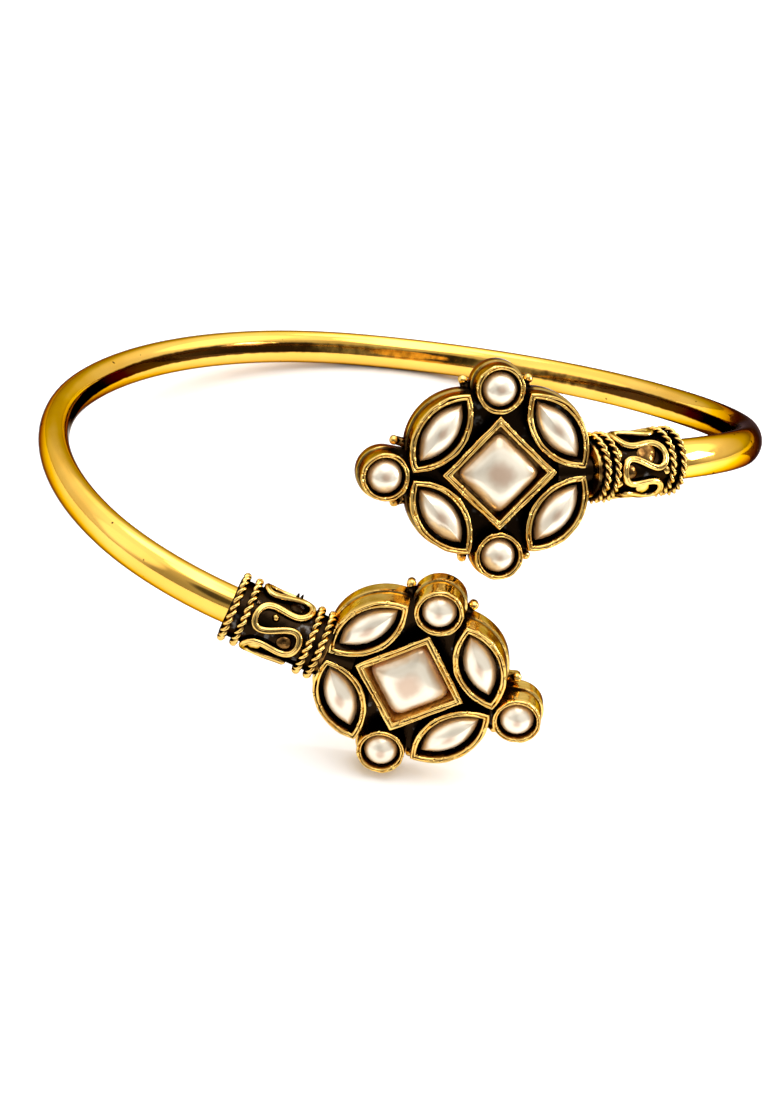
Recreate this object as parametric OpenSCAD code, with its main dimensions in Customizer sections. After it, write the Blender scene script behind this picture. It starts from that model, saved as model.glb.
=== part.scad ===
// An open bangle that lies on its side. One bent oval rod goes round the wrist,
// and its two ends pass each other, one above the other. Each end carries a
// drum collar dressed with wires, and a flower of half pearls set in bezels.

/* [Rod] */
// Thickness of the oval rod, measured towards the wrist
rod_t = 2.6; // [2.4:0.1:2.8]
// Height of the oval rod, measured along the bangle's axis
rod_h = 3.2; // [3:0.1:3.5]
// Radius of the rod's rounded top and bottom edges
rod_edge_r = 1.15; // [1:0.05:1.15]

/* [Collars] */
// Length of each drum
drum_l = 8; // [7.4:0.1:8.1]
// Diameter of each drum under its wires
drum_d = 4.5; // [4:0.1:4.6]
// Thickness of the twisted rope wires
rope_d = 0.6; // [0.4:0.05:0.6]
// Thickness of the serpentine scroll wire
scroll_d = 0.55; // [0.4:0.05:0.55]
// Loops of the scroll wire round the drum
scroll_loops = 5; // [4:1:5]
// Half of the scroll's reach along the drum
scroll_reach = 1.9; // [1.6:0.05:1.9]
// How far each loop swells beyond an even wave
scroll_swell = 0.5; // [0.3:0.05:0.55]
// Degrees that each loop leans round the drum
scroll_lean = 8; // [0:1:10]
// Diameter of the granule inside each loop
loop_granule_d = 0.5; // [0.4:0.05:0.6]
// Depth of the socket that takes the rod
socket_l = 3; // [2:0.1:4]

/* [Flower settings] */
// Thickness of the back plate
plate_t = 1.3; // [1:0.1:1.4]
// Height of the bezels above the plate
bezel_h = 1.7; // [1.5:0.1:1.9]
// How far the plate's edge stands out under the bezels
plate_lip = 0.2; // [0.1:0.05:0.3]
// Radius of the plate's disc between the bezels
plate_r = 6.5; // [6.2:0.1:6.8]
// Half of the square bezel's outer diagonal
square_reach = 4.4; // [4.2:0.1:4.5]
// Width of the square bezel's rim
square_rim = 0.55; // [0.5:0.05:0.6]
// Width of each marquise bezel at its middle
marquise_w = 3.9; // [3.6:0.1:4]
// Width of the marquise bezels' rims
marquise_rim = 0.45; // [0.4:0.05:0.5]
// Outer diameter of the round bezels
round_d = 3.7; // [3.5:0.1:3.8]
// Width of the round bezels' rims
round_rim = 0.35; // [0.3:0.05:0.4]
// Distance from the flower's middle to the round bezel at its tip
tip_reach = 8.7; // [8.5:0.1:8.9]
// Distance from the flower's middle to the round bezels at its sides
side_reach = 6.4; // [6.3:0.1:6.6]
// Diameter of the granules beside the round bezels
granule_d = 0.75; // [0.6:0.05:0.8]

/* [Pearls] */
// Side of the square pearl
square_pearl_w = 4.7; // [4.2:0.1:4.8]
// Corner radius of the square pearl
square_pearl_corner = 0.5; // [0.3:0.1:0.9]
// Length of the marquise pearls
marquise_pearl_l = 5.3; // [4.6:0.1:5.3]
// Width of the marquise pearls
marquise_pearl_w = 2.4; // [2.1:0.1:2.5]
// Diameter of the round pearls
round_pearl_d = 2.65; // [2.3:0.05:2.7]
// Height of every pearl
pearl_h = 1.95; // [1.7:0.05:2.1]
// Height of a pearl's upright edge under its dome
girdle_h = 1; // [0.8:0.05:1.2]

/* [Resting place] */
// Lean towards the flowers, which lift the front
rest_pitch = -19.7; // [-22:0.1:0]
// Lean to the side
rest_roll = 2.5; // [0:0.1:8]
// Height of the rod's middle at the back of the bangle
rest_rise = 1.64; // [0:0.01:30]
// Sideways place of the rod's middle at the back
back_x = 1.03; // [-5:0.01:5]
// Front to back place of the rod's middle at the back
back_y = 29.05; // [0:0.01:40]

/* [Hidden] */
$fn = 64;

// Columns of the bend tables: bend radius, degrees turned, and how far the
// bend leans up out of the bangle's plane, from the back to the collar
RADIUS = 0;
TURN = 1;
LEAN = 2;
left_bends = [[31.5, 66, -5], [28, 55, -13], [16, 43, -24]];
right_bends = [[28.5, 65, 5], [26.5, 56, 8], [16, 43, -4]];

// Turns of each flower against its collar: rolled about the arm, turned in
// the flower's own plane, and swung towards the wrist
ROLL = 0;
SPIN = 1;
SWING = 2;
left_flower_turns = [16, -3, -3];
right_flower_turns = [-2, 0, -21];

// The oval of the rod is four arcs that run into each other
edge_up = rod_h / 2 - rod_edge_r;
side_r = (pow(rod_t / 2, 2) + pow(edge_up, 2) - pow(rod_edge_r, 2)) / (rod_t - 2 * rod_edge_r);

// Each collar ends just before the point that its flower turns on
flower_pivot = 8.2;
flower_reach = 6.5;
rim_out = 1.2;
flower_h = plate_t + bezel_h;
clearance = 0.05;
drum_r = drum_d / 2;
wire_sink = 0.08;
rope_places = [0.35, 1.35, 6.5, 7.4];
scroll_middle = (rope_places[1] + rope_places[2]) / 2;
scroll_r = drum_r + scroll_d / 2 - wire_sink;
scroll_gap = 35;
granule_place = 0.45;
scroll_steps = 20 * scroll_loops;
scroll_sides = 6;
left_scroll_start = -54;
right_scroll_start = -80;
collar_r = drum_r + rope_d;

// A marquise bezel runs from its tip beside the arm's line to its tip beside
// a round bezel at the flower's side
marquise_near = [6.6, 0.3];
marquise_far = [2.3, 6.1];
marquise_middle = (marquise_near + marquise_far) / 2;
marquise_l = norm(marquise_far - marquise_near);
marquise_angle = atan2(marquise_far[1] - marquise_near[1], marquise_far[0] - marquise_near[0]);

// Granules lie beside the round bezels, in the outer crevices
side_granule = [2.55, 7.25];
tip_granule = [7.45, 2.5];
granule_seat_r = 0.75;
stub_r = 1.2;
stub_l = 3;

// A pearl's roof springs this far outside its outline
roof_spring = 0.15;

// Radius of the arc over a chord whose half width and rise are given
function arc_radius(half, rise) = (half * half + rise * rise) / (2 * rise);

module resting() {
    translate([back_x, back_y, rest_rise])
        rotate([rest_pitch, rest_roll, 0])
            children();
}

module rod_section(grow = 0) {
    for (side = [-1, 1])
        translate([0, side * edge_up])
            circle(rod_edge_r + grow);
    intersection() {
        translate([rod_t / 2 - side_r, 0])
            circle(side_r + grow);
        translate([side_r - rod_t / 2, 0])
            circle(side_r + grow);
        square([rod_t * 2, 2 * (side_r + grow) * edge_up / (side_r - rod_edge_r)], center = true);
    }
}

module bend(row) {
    rotate([-row[LEAN], 0, 0])
        translate([0, -row[RADIUS], 0])
            rotate([0, 0, 90 - row[TURN]])
                rotate_extrude(angle = row[TURN])
                    translate([row[RADIUS], 0])
                        rotate(row[LEAN])
                            rod_section();
}

module past_bend(row) {
    rotate([-row[LEAN], 0, 0])
        translate([0, -row[RADIUS], 0])
            rotate([0, 0, -row[TURN]])
                translate([0, row[RADIUS], 0])
                    rotate([row[LEAN], 0, 0])
                        children();
}

module past_bends(bends, i = 0) {
    if (i < len(bends))
        past_bend(bends[i])
            past_bends(bends, i + 1)
                children();
    else
        children();
}

module straight_rod(length, grow = 0) {
    rotate([90, 0, 90])
        linear_extrude(length)
            rod_section(grow);
}

module arm(bends, i = 0) {
    if (i < len(bends)) {
        bend(bends[i]);
        past_bend(bends[i])
            arm(bends, i + 1);
    } else
        straight_rod(socket_l - clearance);
}

module left_arm_end() {
    resting()
        mirror([1, 0, 0])
            past_bends(left_bends)
                children();
}

module right_arm_end() {
    resting()
        past_bends(right_bends)
            children();
}

// Puts the back of a flower's plate in place, with its tip along X
module on_flower(turns) {
    translate([flower_pivot, 0, 0])
        rotate([0, 0, turns[SWING]])
            rotate([turns[ROLL], 0, 0])
                rotate([0, turns[SPIN], 0])
                    translate([flower_reach, rim_out - flower_h, 0])
                        rotate([-90, 0, 0])
                            children();
}

// Collar

module ring_wire(ring_r, wire_r) {
    rotate([0, 90, 0])
        rotate_extrude()
            translate([ring_r, 0])
                circle(wire_r);
}

// The scroll is a wave along the drum whose phase runs ahead and falls back,
// so that its loops swell and their necks close in. Its two ends stop short
// of each other, on either side of the loop that would lie at phase 0.
function scroll_point(phase, start) =
    let (
        round_drum = start + phase / scroll_loops + scroll_lean * cos(phase)
            + scroll_swell / drum_r * sin(2 * phase) * 180 / PI,
        along = scroll_middle + scroll_reach * cos(phase)
    )
    [along, scroll_r * cos(round_drum), scroll_r * sin(round_drum)];

function unit(v) = v / norm(v);

function scroll_ring(phase, start) =
    let (
        middle = scroll_point(phase, start),
        ahead = unit(scroll_point(phase + 1, start) - scroll_point(phase - 1, start)),
        outwards = unit([0, middle[1], middle[2]]),
        across = unit(cross(ahead, outwards)),
        upwards = cross(across, ahead)
    )
    [for (j = [0 : scroll_sides - 1])
        let (a = 360 * j / scroll_sides)
        middle + scroll_d / 2 * (upwards * cos(a) + across * sin(a))];

module scroll_wire(start) {
    wire_span = 360 * scroll_loops - 2 * scroll_gap;
    rings = [
        for (i = [0 : scroll_steps])
            scroll_ring(scroll_gap + wire_span * i / scroll_steps, start)
    ];
    points = [for (ring = rings) for (p = ring) p];
    sides = [
        for (i = [0 : scroll_steps - 1])
            for (j = [0 : scroll_sides - 1])
                let (
                    this_i = i * scroll_sides,
                    next_i = this_i + scroll_sides,
                    next_j = (j + 1) % scroll_sides
                )
                for (face = [
                    [this_i + j, next_i + j, next_i + next_j],
                    [this_i + j, next_i + next_j, this_i + next_j]
                ]) face
    ];
    first_end = [for (j = [0 : scroll_sides - 1]) j];
    last_end = [for (j = [scroll_sides - 1 : -1 : 0]) scroll_steps * scroll_sides + j];
    polyhedron(points, concat(sides, [first_end, last_end]), convexity = 8);
}

// One granule lies in each loop, near the loop's closed end. The loops point
// by turns towards the flower and towards the rod.
module loop_granules(start) {
    for (i = [0 : 2 * scroll_loops - 1])
        let (side = i % 2 == 0 ? 1 : -1)
            rotate([start + 180 * i / scroll_loops + side * scroll_lean, 0, 0])
                translate([
                    scroll_middle + side * scroll_reach * granule_place,
                    drum_r + loop_granule_d / 2 - wire_sink * 2,
                    0
                ])
                    sphere(d = loop_granule_d);
}

module collar(scroll_start) {
    difference() {
        union() {
            rotate([0, 90, 0])
                cylinder(h = drum_l, r = drum_r);
            for (place = rope_places)
                translate([place, 0, 0])
                    ring_wire(drum_r + rope_d / 2 - wire_sink, rope_d / 2);
            scroll_wire(scroll_start);
            loop_granules(scroll_start);
        }
        translate([-1, 0, 0])
            straight_rod(socket_l + 1, clearance);
    }
}

// Flower setting

module at_marquise(number) {
    mirror([floor(number / 2), 0, 0])
        mirror([0, number % 2, 0])
            translate(marquise_middle)
                rotate(marquise_angle)
                    children();
}

module at_round(number) {
    translate([[tip_reach, 0], [0, side_reach], [0, -side_reach]][number])
        children();
}

// Pointed oval between two arcs, taken in or let out by inset
module pointed_oval(length, width, inset = 0) {
    arc_r = arc_radius(length / 2, width / 2);
    intersection() {
        translate([0, width / 2 - arc_r])
            circle(arc_r - inset);
        translate([0, arc_r - width / 2])
            circle(arc_r - inset);
    }
}

module square_outline(inset = 0) {
    side = square_reach * sqrt(2) - 2 * inset;
    rotate(45)
        square(side, center = true);
}

module bezel_outlines(inset = 0) {
    square_outline(inset);
    for (number = [0 : 3])
        at_marquise(number)
            pointed_oval(marquise_l, marquise_w, inset);
    for (number = [0 : 2])
        at_round(number)
            circle(round_d / 2 - inset);
}

module at_granules() {
    for (side = [-1, 1]) {
        for (end = [-1, 1])
            translate([end * side_granule[0], side * side_granule[1]])
                children();
        translate([tip_granule[0], side * tip_granule[1]])
            children();
    }
}

module back_plate() {
    linear_extrude(plate_t) {
        circle(plate_r);
        bezel_outlines(-plate_lip);
        at_granules()
            circle(granule_seat_r);
        translate([tip_granule[0] - granule_seat_r, -tip_granule[1]])
            square([2 * granule_seat_r, 2 * tip_granule[1]]);
    }
}

module hollows() {
    translate([0, 0, plate_t])
        linear_extrude(bezel_h + 1) {
            square_outline(square_rim);
            for (number = [0 : 3])
                at_marquise(number)
                    pointed_oval(marquise_l, marquise_w, marquise_rim);
            for (number = [0 : 2])
                at_round(number)
                    circle(round_d / 2 - round_rim);
        }
}

module setting(turns) {
    difference() {
        on_flower(turns)
            difference() {
                union() {
                    back_plate();
                    translate([0, 0, plate_t - 0.1])
                        linear_extrude(bezel_h + 0.1)
                            bezel_outlines();
                    translate([0, 0, plate_t])
                        at_granules()
                            sphere(d = granule_d);
                    translate([-flower_reach - 1, 0, flower_h - rim_out])
                        rotate([0, 90, 0])
                            cylinder(h = stub_l, r = stub_r);
                }
                hollows();
            }
        rotate([0, 90, 0])
            cylinder(h = drum_l + clearance, r = collar_r);
    }
}

// Pearls, standing on the plate inside their bezels

// A long tunnel whose round roof springs from the girdle, a little outside
// the half width given
module tunnel(half_width) {
    roof_r = arc_radius(half_width + roof_spring, pearl_h - girdle_h);
    rotate([90, 0, 90])
        linear_extrude(2 * marquise_pearl_l, center = true)
            translate([0, pearl_h - roof_r]) {
                circle(roof_r);
                translate([-roof_r, -2 * roof_r])
                    square([2 * roof_r, 2 * roof_r]);
            }
}

// Stands an outline up and crowns it with the roofs of two crossed tunnels
module vaulted_pearl(half_x, half_y) {
    intersection() {
        linear_extrude(pearl_h)
            children();
        tunnel(half_y);
        rotate(90)
            tunnel(half_x);
    }
}

module square_pearl() {
    straight = square_pearl_w - 2 * square_pearl_corner;
    rotate(45)
        vaulted_pearl(square_pearl_w / 2, square_pearl_w / 2) {
            square([square_pearl_w, straight], center = true);
            square([straight, square_pearl_w], center = true);
            for (x = [-1, 1])
                for (y = [-1, 1])
                    translate([x, y] * straight / 2)
                        circle(square_pearl_corner);
        }
}

module marquise_pearl() {
    vaulted_pearl(marquise_pearl_l / 2, marquise_pearl_w / 2)
        pointed_oval(marquise_pearl_l, marquise_pearl_w);
}

module round_pearl() {
    dome_r = arc_radius(round_pearl_d / 2 + roof_spring, pearl_h - girdle_h);
    intersection() {
        cylinder(h = pearl_h, d = round_pearl_d);
        translate([0, 0, pearl_h - dome_r])
            sphere(dome_r);
    }
}

module on_plate() {
    translate([0, 0, plate_t + clearance])
        children();
}

module hoop() {
    color("goldenrod")
        resting() {
            mirror([1, 0, 0])
                arm(left_bends);
            arm(right_bends);
        }
}

module left_collar() {
    color("darkgoldenrod")
        left_arm_end()
            collar(left_scroll_start);
}

module right_collar() {
    color("darkgoldenrod")
        right_arm_end()
            collar(right_scroll_start);
}

module left_setting() {
    color("gold")
        left_arm_end()
            setting(left_flower_turns);
}

module right_setting() {
    color("gold")
        right_arm_end()
            setting(right_flower_turns);
}

module left_pearl() {
    color("ivory")
        left_arm_end()
            on_flower(left_flower_turns)
                on_plate()
                    children();
}

module right_pearl() {
    color("ivory")
        right_arm_end()
            on_flower(right_flower_turns)
                on_plate()
                    children();
}

module left_square_stone() left_pearl() square_pearl();
module right_square_stone() right_pearl() square_pearl();
module left_marquise_stone(number) left_pearl() at_marquise(number - 1) marquise_pearl();
module right_marquise_stone(number) right_pearl() at_marquise(number - 1) marquise_pearl();
module left_round_stone(number) left_pearl() at_round(number - 1) round_pearl();
module right_round_stone(number) right_pearl() at_round(number - 1) round_pearl();

hoop();
left_collar();
right_collar();
left_setting();
right_setting();
left_square_stone();
right_square_stone();
left_marquise_stone(1);  // left_marquise_stone_1
left_marquise_stone(2);  // left_marquise_stone_2
left_marquise_stone(3);  // left_marquise_stone_3
left_marquise_stone(4);  // left_marquise_stone_4
right_marquise_stone(1);  // right_marquise_stone_1
right_marquise_stone(2);  // right_marquise_stone_2
right_marquise_stone(3);  // right_marquise_stone_3
right_marquise_stone(4);  // right_marquise_stone_4
left_round_stone(1);  // left_round_stone_1
left_round_stone(2);  // left_round_stone_2
left_round_stone(3);  // left_round_stone_3
right_round_stone(1);  // right_round_stone_1
right_round_stone(2);  // right_round_stone_2
right_round_stone(3);  // right_round_stone_3
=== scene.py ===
import bpy
import numpy as np
from mathutils import Matrix


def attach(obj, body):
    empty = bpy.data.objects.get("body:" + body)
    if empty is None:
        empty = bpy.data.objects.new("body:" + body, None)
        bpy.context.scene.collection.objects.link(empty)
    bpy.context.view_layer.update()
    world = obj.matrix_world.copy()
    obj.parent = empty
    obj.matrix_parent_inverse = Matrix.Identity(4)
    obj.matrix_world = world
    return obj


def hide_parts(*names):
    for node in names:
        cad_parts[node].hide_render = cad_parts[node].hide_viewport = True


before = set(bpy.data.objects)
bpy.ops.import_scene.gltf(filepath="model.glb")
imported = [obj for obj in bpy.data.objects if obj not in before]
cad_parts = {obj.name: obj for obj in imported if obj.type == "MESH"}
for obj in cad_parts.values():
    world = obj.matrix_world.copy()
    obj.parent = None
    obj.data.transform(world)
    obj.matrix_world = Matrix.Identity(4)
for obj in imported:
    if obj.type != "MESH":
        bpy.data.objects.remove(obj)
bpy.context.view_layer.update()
mm = 0.001  # the bangle's sizes are in millimetres, and become metres when a mesh is made


# Turn about one axis of a frame, as a 4 by 4 matrix for each angle given in degrees
def turned(axis, degrees):
    angle = np.radians(np.asarray(degrees, float))
    first, second = {"X": (1, 2), "Y": (2, 0), "Z": (0, 1)}[axis]
    matrix = np.zeros(angle.shape + (4, 4))
    matrix[..., range(4), range(4)] = 1
    matrix[..., first, first] = matrix[..., second, second] = np.cos(angle)
    matrix[..., second, first] = np.sin(angle)
    matrix[..., first, second] = -np.sin(angle)
    return matrix


# Shift along the three axes, as a 4 by 4 matrix
def moved(x, y, z):
    matrix = np.eye(4)
    matrix[:3, 3] = (x, y, z)
    return matrix


# Points carried by a 4 by 4 matrix
def placed(points, place):
    return points @ place[:3, :3].T + place[:3, 3]


# Vectors made one long
def unit(vectors):
    return vectors / np.linalg.norm(vectors, axis=-1, keepdims=True)


# Runs smoothly from 0 at low to 1 at high
def smooth(value, low, high):
    t = np.clip((value - low) / (high - low), 0, 1)
    return t * t * (3 - 2 * t)


# A bump of height 1 at the middle that falls away over the width
def bump(value, middle, width):
    return np.exp(-((value - middle) / width) ** 2)


# Wavering about 0 that closes on itself over one turn t from 0 to 1: a sum of sines of
# whole numbers of waves, each with its own phase and each weaker than the one before
def wavering(t, seed, waves):
    phases = np.random.RandomState(seed).uniform(0, 2 * np.pi, len(waves))
    sines = [np.sin(2 * np.pi * n * t + phase) for n, phase in zip(waves, phases)]
    return sum(sine / (1 + k) for k, sine in enumerate(sines))


# Faces of a grid of rows by columns whose columns close on themselves; the rows close
# too where asked, and otherwise each end is one flat face
def gridFaces(rows, columns, rowsClose):
    starts = rows if rowsClose else rows - 1
    row, column = np.meshgrid(np.arange(starts), np.arange(columns), indexing="ij")
    nextRow, nextColumn = (row + 1) % rows, (column + 1) % columns
    corners = [row * columns + column, row * columns + nextColumn,
               nextRow * columns + nextColumn, nextRow * columns + column]
    faces = np.stack(corners, -1).reshape(-1, 4).tolist()
    if not rowsClose:
        faces += [list(range(columns))[::-1], list(range((rows - 1) * columns, rows * columns))]
    return faces


# One closed skin: its points in place, its faces turned outwards, and the dark mark and amber
# that its material reads. The dark mark is soot on the worked gold, partly patina and partly
# painted reflection and shade on the rod, and painted shade with a painted reflection spot on
# the pearls. The sign of the volume under the faces says which way they look.
def skin(points, place, sootAndShade=0.0, amber=0.0, rowsClose=False):
    rows, columns = points.shape[:2]
    world = placed(points, place)
    a, b = world, np.roll(world, -1, axis=1)
    if rowsClose:
        c, d = np.roll(b, -1, axis=0), np.roll(a, -1, axis=0)
    else:
        a, b, c, d = a[:-1], b[:-1], b[1:], a[1:]
    middle = world.reshape(-1, 3).mean(0)
    twiceAreas = np.cross(b - a, c - a) + np.cross(c - a, d - a)
    volume = (twiceAreas * (a - middle)).sum()
    faces = gridFaces(rows, columns, rowsClose)
    if volume < 0:
        faces = [face[::-1] for face in faces]
    marks = {name: np.broadcast_to(value, (rows, columns)).reshape(-1)
             for name, value in (("sootAndShade", sootAndShade), ("amber", amber))}
    return {"points": world.reshape(-1, 3), "faces": faces, "marks": marks}


# One piece from its skins, in metres, smooth but for its sharp edges
def makePiece(name, skins, material, node, sharpAngle=40):
    starts = np.cumsum([0] + [len(part["points"]) for part in skins])
    points = np.concatenate([part["points"] for part in skins]) * mm
    faces = [[int(start) + corner for corner in face]
             for start, part in zip(starts, skins) for face in part["faces"]]
    mesh = bpy.data.meshes.new(name)
    mesh.from_pydata(points.tolist(), [], faces)
    mesh.shade_smooth()
    mesh.set_sharp_from_angle(angle=np.radians(sharpAngle))
    for mark in ("sootAndShade", "amber"):
        values = np.concatenate([part["marks"][mark] for part in skins]).astype(np.float32)
        mesh.attributes.new(mark, "FLOAT", "POINT").data.foreach_set("value", values)
    mesh.materials.append(material)
    piece = bpy.data.objects.new(name, mesh)
    bpy.context.scene.collection.objects.link(piece)
    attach(piece, "root")
    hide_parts(node)
    print("made", name, len(mesh.polygons), "faces")


# Rings about the X axis, one for each place along it and radius, as a lathe would turn them
def lathed(line, angle):
    return np.array([np.stack([np.full_like(angle, x), r * np.cos(angle), r * np.sin(angle)], -1)
                     for x, r in line])


# Where the bangle rests, and how its rod bends: each bend has a radius, degrees turned,
# and how far it leans up out of the bangle's plane
bangle = {
    "restPitch": -19.7, "restRoll": 2.5, "restRise": 1.64, "backX": 1.03, "backY": 29.05,
    "leftBends": ((31.5, 66, -5), (28, 55, -13), (16, 43, -24)),
    "rightBends": ((28.5, 65, 5), (26.5, 56, 8), (16, 43, -4)),
}
rest = moved(bangle["backX"], bangle["backY"], bangle["restRise"]) \
    @ turned("Y", bangle["restRoll"]) @ turned("X", bangle["restPitch"])
mirrored = np.diag([-1.0, 1, 1, 1])

# Angles go round the rod's section from its outside, upwards; "at" places run along the rod
# from 0 in the left collar to 1 in the right one
rod = {
    "thickness": 2.6, "height": 3.2, "edgeRadius": 1.15,
    "socketLength": 2.95, "socketGap": 0.05, "stationSpacing": 0.3, "pointsAround": 56,
    # The groove's dark band is partly real patina and partly a painted reflection of dark surroundings; the
    # under values place a painted shade beneath the back.
    "grooveAngle": 173, "grooveHalf": 15, "grooveDepth": 0.06, "patinaAndShade": 0.95,
    "faintAt": 0.575, "faintSpan": 0.1, "faintBy": 0.55,
    "underAngle": 262, "underHalf": 26, "underAt": 0.52, "underSpan": 0.13, "underShade": 0.6,
}


# Frames along an arm: X runs along the rod, Y outwards and Z up. A bend turns the frame
# about an axis one radius away, leaned over; a straight end then goes into the collar.
def armFrames(bends):
    reached, parts = np.eye(4), [np.eye(4)[None]]
    for radius, degreesTurned, lean in bends:
        steps = int(radius * np.radians(degreesTurned) / rod["stationSpacing"])
        part = turned("X", -lean) @ moved(0, -radius, 0) \
            @ turned("Z", -np.linspace(0, degreesTurned, steps + 1)[1:]) \
            @ moved(0, radius, 0) @ turned("X", lean)
        parts.append(reached @ part)
        reached = parts[-1][-1]
    steps = int(rod["socketLength"] / rod["stationSpacing"])
    straight = np.repeat(np.eye(4)[None], steps, axis=0)
    straight[:, 0, 3] = np.linspace(0, rod["socketLength"], steps + 1)[1:]
    parts.append(reached @ straight)
    return np.concatenate(parts), reached


leftFrames, leftEnd = armFrames(bangle["leftBends"])
rightFrames, rightEnd = armFrames(bangle["rightBends"])
leftArm, rightArm = rest @ mirrored @ leftEnd, rest @ rightEnd


# The rod's oval is four arcs that run into each other. A point is the middle of its arc
# plus the arc's radius along the surface's own direction, which is the parameter.
def ovalSection(direction, grow=0.0):
    edgeUp = rod["height"] / 2 - rod["edgeRadius"]
    half = rod["thickness"] / 2
    sideRadius = (half ** 2 + edgeUp ** 2 - rod["edgeRadius"] ** 2) / (2 * (half - rod["edgeRadius"]))
    joinSine = edgeUp / (sideRadius - rod["edgeRadius"])
    across, up = np.cos(direction), np.sin(direction)
    onEdge = np.abs(up) > joinSine
    radius = np.where(onEdge, rod["edgeRadius"], sideRadius) + grow
    middleAcross = np.where(onEdge, 0, np.sign(across) * (half - sideRadius))
    middleUp = np.where(onEdge, np.sign(up) * edgeUp, 0)
    return middleAcross + radius * across, middleUp + radius * up


# Rod: the oval carried along both arms, from the left socket round the back to the right.
# A shallow groove runs along its inner side, with a dark band that is partly patina and partly
# a painted reflection of dark surroundings, fainter here and there, and a painted shade lies
# underneath at the back.
def makeRod(material):
    frames = np.concatenate([(mirrored @ leftFrames)[::-1], rightFrames[1:]])
    middle, half = rod["grooveAngle"], rod["grooveHalf"]
    inner = np.linspace(middle - 2 * half, middle + 2 * half, 29)
    evenly = np.linspace(0, 360, rod["pointsAround"], endpoint=False)
    degrees = np.sort(np.concatenate([evenly[np.abs(evenly - middle) > 2 * half + 3], inner]))
    groove = bump(degrees, middle, half)
    across, up = ovalSection(np.radians(degrees), -rod["grooveDepth"] * groove)
    points = frames[:, None, :3, 3] + across[None, :, None] * frames[:, None, :3, 1] \
        + up[None, :, None] * frames[:, None, :3, 2]
    along = np.linspace(0, 1, len(frames))[:, None]
    faint = 0.95 + 0.05 * wavering(along, 5, (7, 16, 31)) \
        - rod["faintBy"] * bump(along, rod["faintAt"], rod["faintSpan"])
    # Painted reflection and shade: the band along the groove is partly patina and partly a painted dark
    # reflection, and the mark under the back is a painted shade.
    band = smooth(-np.abs(degrees - middle), -1.4 * half, -0.75 * half)[None]
    shadeUnder = rod["underShade"] * bump(degrees, rod["underAngle"], rod["underHalf"])[None] \
        * bump(along, rod["underAt"], rod["underSpan"])
    sootAndShade = np.maximum(rod["patinaAndShade"] * faint * band, shadeUnder)
    makePiece("hoop_rod", [skin(points, rest, sootAndShade=sootAndShade)], material, "hoop")


collar = {
    "drumLength": 8, "drumDiameter": 4.5, "drumEdge": 0.12,
    "ropeDiameter": 0.6, "ropePlaces": (0.35, 1.35, 6.5, 7.4), "ropeTwists": 12, "ropeShift": 1.7,
    "wireSink": 0.08,
    "scrollDiameter": 0.55, "scrollLoops": 5, "scrollReach": 1.9, "scrollSwell": 0.5,
    "scrollLean": 8, "scrollGap": 35, "scrollGroove": 0.06, "grooveWidth": 0.26,
    "leftStart": -54, "rightStart": -80, "leftSolder": 0.5, "rightSolder": 0.9, "solderEdge": (0.6, 0.3),
    "drumPoints": 96, "ropeStations": 240, "ropePoints": 8, "scrollStations": 700, "scrollPoints": 24,
}
drumRadius = collar["drumDiameter"] / 2
scrollMiddle = (collar["ropePlaces"][1] + collar["ropePlaces"][2]) / 2


# Drum: a line turned about the arm's axis, from the bottom of the socket out over the
# rod's end, round the outside and closed at the flower's end, where patches of solder shine
def makeDrum(side, place, material):
    angle = np.linspace(0, 2 * np.pi, collar["drumPoints"], endpoint=False)
    socketDepth = rod["socketLength"] + rod["socketGap"]
    boreY, boreZ = ovalSection(angle, rod["socketGap"])
    bore = [np.stack([np.full_like(angle, x), boreY * share, boreZ * share], -1)
            for x, share in ((socketDepth, 0.02), (socketDepth, 1), (0, 1))]
    edge, length = collar["drumEdge"], collar["drumLength"]
    turn = np.radians(np.linspace(0, 90, 5))
    line = [(edge * (1 - np.sin(a)), drumRadius - edge * (1 - np.cos(a))) for a in turn[::-1]]
    line += [(x, drumRadius) for x in np.linspace(edge, length - edge, 24)[1:-1]]
    line += [(length - edge * (1 - np.sin(a)), drumRadius - edge * (1 - np.cos(a))) for a in turn]
    points = np.concatenate([np.array(bore), lathed(line + [(length, 0.02)], angle)])
    patches = np.clip(0.55 + 0.6 * wavering(angle / (2 * np.pi), 9, (3, 7, 12)), 0, 1)
    edgeStart, edgeEnd = (length - away for away in collar["solderEdge"])
    solder = collar[side + "Solder"] * smooth(points[..., 0], edgeStart, edgeEnd) * patches
    makePiece(side + "_collar_drum", [skin(points, place, sootAndShade=1 - solder)],
              material, side + "_collar")


# Ropes: two strands each, wound round a ring that hugs the drum. A strand's middle is the
# ring's middle plus its own circle in the ring's section, turned as the ring goes round.
def makeRopes(side, place, material):
    strandRadius = collar["ropeDiameter"] / 4
    ringRadius = drumRadius + collar["ropeDiameter"] / 2 - collar["wireSink"]
    theta = np.linspace(0, 2 * np.pi, collar["ropeStations"], endpoint=False)[:, None]
    around = np.linspace(0, 2 * np.pi, collar["ropePoints"], endpoint=False)[None, :]
    skins = []
    for rope, x in enumerate(collar["ropePlaces"]):
        for strand in (0, 1):
            wind = collar["ropeTwists"] * theta + strand * np.pi + rope * collar["ropeShift"]
            outwards = ringRadius + strandRadius * np.cos(wind)
            along = x + strandRadius * np.sin(wind)
            thick = strandRadius * (1.06 + 0.05 * wavering(theta / (2 * np.pi), rope + 7, (5, 11, 17)))
            r = outwards + thick * np.cos(around)
            points = np.stack([along + thick * np.sin(around), r * np.cos(theta), r * np.sin(theta)], -1)
            rise = (r - drumRadius) / collar["ropeDiameter"]
            skins.append(skin(points, place, sootAndShade=1 - smooth(rise, 0.15, 0.78), rowsClose=True))
    makePiece(side + "_collar_ropes", skins, material, side + "_collar", 180)


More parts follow.
